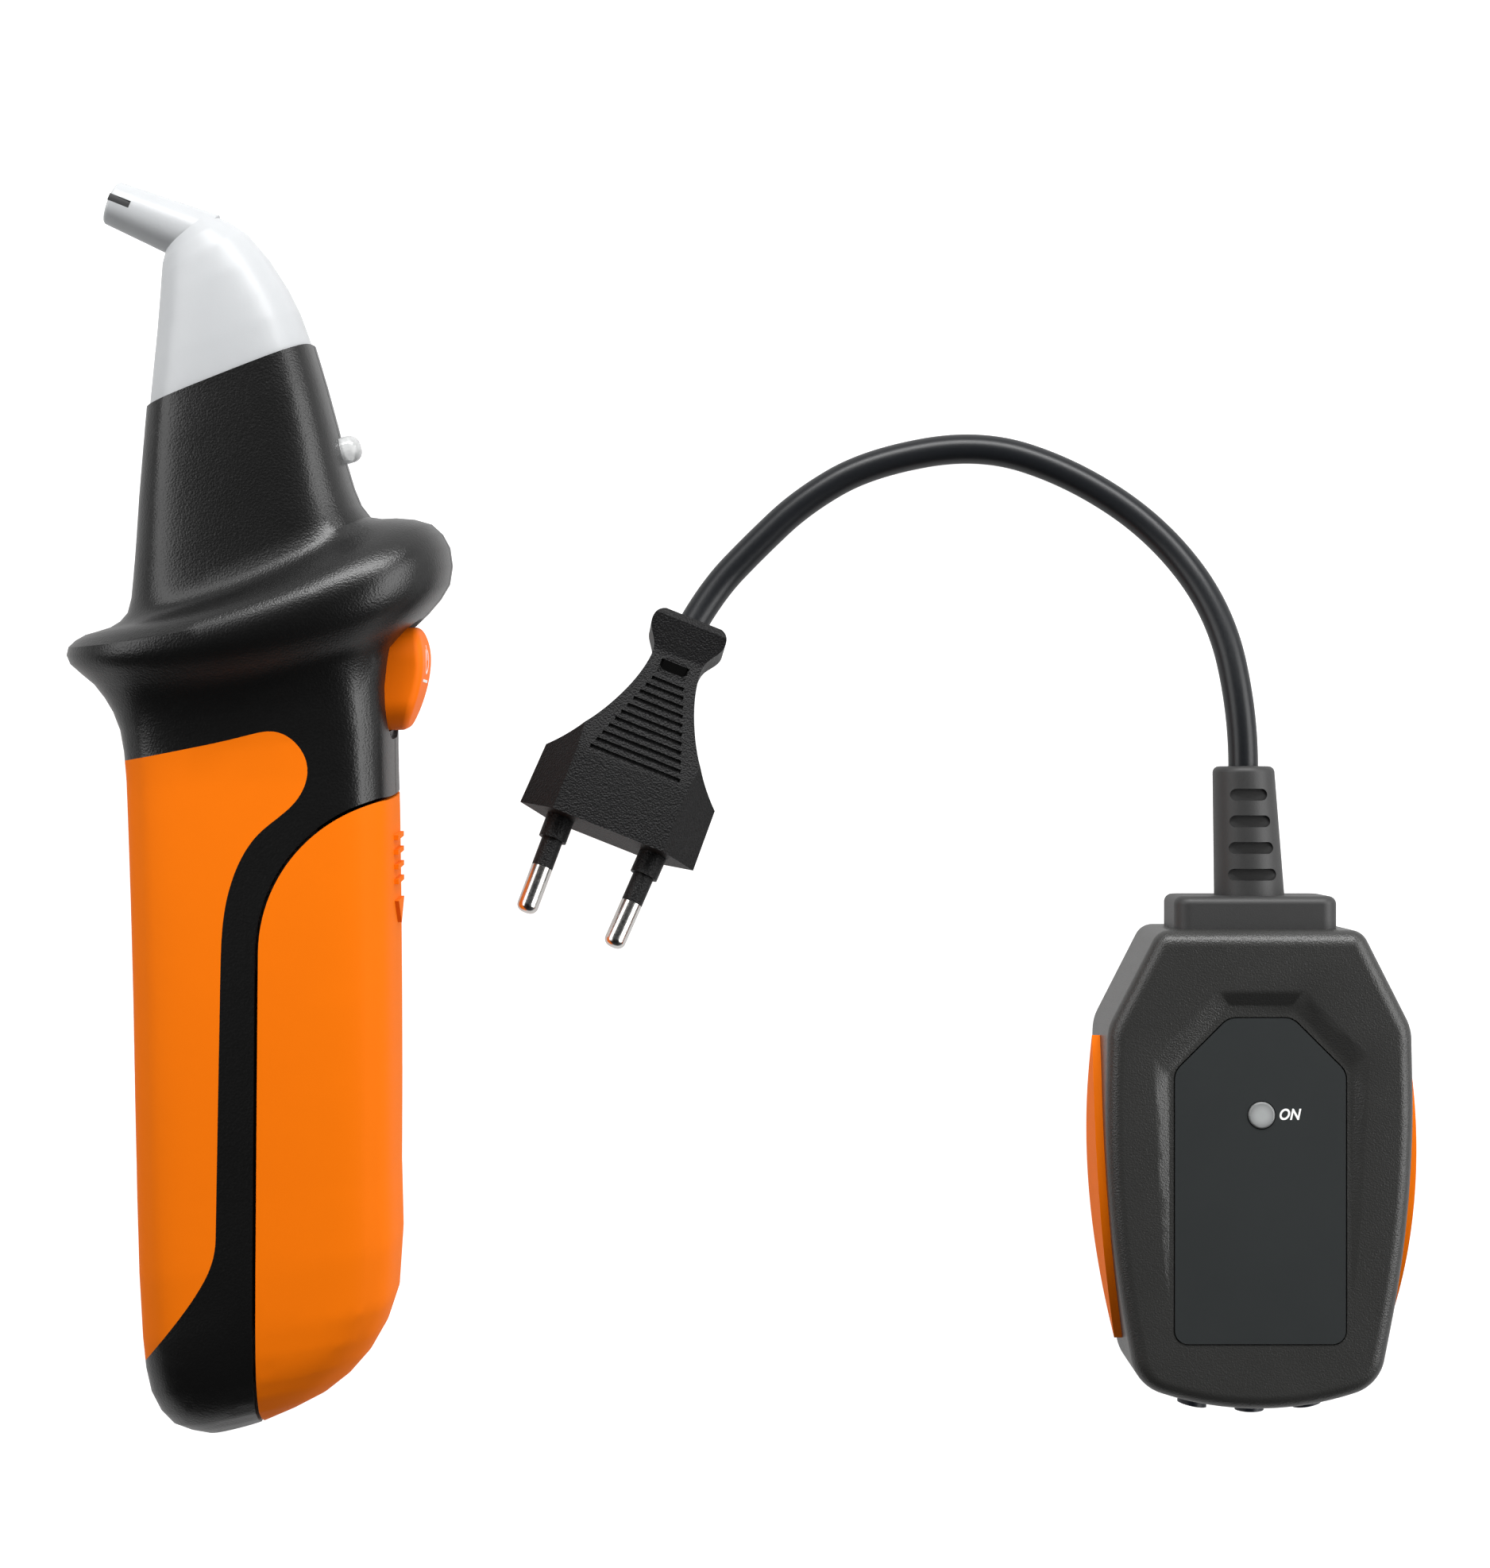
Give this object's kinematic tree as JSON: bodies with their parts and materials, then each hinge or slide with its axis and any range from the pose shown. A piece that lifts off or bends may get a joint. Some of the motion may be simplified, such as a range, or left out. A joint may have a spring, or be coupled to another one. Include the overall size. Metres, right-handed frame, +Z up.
{
  "type": "circuit breaker finder",
  "caption": "Two-unit circuit finder: a wand receiver with hand guard, bent sensing tip and button, and a flat transmitter with a short cord and two-pin plug.",
  "frame": {"origin": "on the surface that both units lie on, under the middle of the box round the two units, the cord and plug not counted", "axes": "+X across both units, from the receiver to the transmitter; +Y along the receiver towards its sensing tip; +Z up, away from the surface"},
  "size_m": [0.2471, 0.2296, 0.0519],
  "materials": {
    "housing_black": "fine spark-eroded texture",
    "grip_orange": "soft-touch, satin",
    "button_orange": "satin",
    "nose_frosted": "frosted, light-spreading",
    "blade_dark": "matte",
    "ferrite": "matte",
    "copper_winding": "enamelled wire",
    "lens_clear": "clear",
    "lens_frosted": "frosted",
    "component_black": "matte",
    "circuit_board": "solder resist",
    "battery_can": "satin",
    "screw_steel": "zinc plated",
    "transmitter_grey": "satin, fine texture",
    "label_dark": "smooth film",
    "capacitor_yellow": "satin",
    "fuse_glass": "clear",
    "bumper_navy": "matte",
    "relief_grey": "fine texture",
    "plug_black": "sparkled texture",
    "pin_nickel": "nickel plated",
    "cord_black": "smooth sheath"
  },
  "bodies": {
    "receiver": {"receiver_right_shell": "housing_black", "receiver_left_shell": "housing_black", "grip_right": "grip_orange", "grip_left": "grip_orange", "sensor_nose": "nose_frosted", "tip_blade": "blade_dark", "coil_core": "ferrite", "pickup_coil": "copper_winding", "signal_led": "lens_clear", "nose_leds": "lens_clear", "tact_switch": "component_black", "receiver_board": "circuit_board", "buzzer": "component_black", "battery": "battery_can", "battery_snap": "component_black", "receiver_screws": "screw_steel"},
    "reset_button": {"reset_button": "button_orange"},
    "battery_cover": {"battery_cover": "grip_orange"},
    "transmitter": {"transmitter_front_shell": "transmitter_grey", "transmitter_back_shell": "transmitter_grey", "label_panel": "label_dark", "power_lens": "lens_frosted", "power_led": "lens_clear", "main_board": "circuit_board", "coupling_transformer": "component_black", "line_capacitor": "capacitor_yellow", "fuse": "fuse_glass", "side_grip_right": "grip_orange", "side_grip_left": "grip_orange", "end_bumpers": "bumper_navy", "transmitter_screws": "screw_steel", "strain_relief": "relief_grey", "plug_body": "plug_black", "plug_pins": "pin_nickel", "pin_sleeves": "plug_black", "power_cord": "cord_black"}
  },
  "joints": [
    {"name": "button_press", "type": "slide", "parent": "receiver", "child": "reset_button", "axis": [-1, 0, 0], "range_m": [0, 0.001], "stiffness_N_per_m": 1000},
    {"name": "cover_slide", "type": "slide", "parent": "receiver", "child": "battery_cover", "axis": [0, -0.9975, -0.0711], "range_m": [0, 0.12]},
    {"name": "transmitter_apart", "type": "slide", "parent": "receiver", "child": "transmitter", "axis": [1, 0, 0], "range_m": [0, 0.15]}
  ]
}
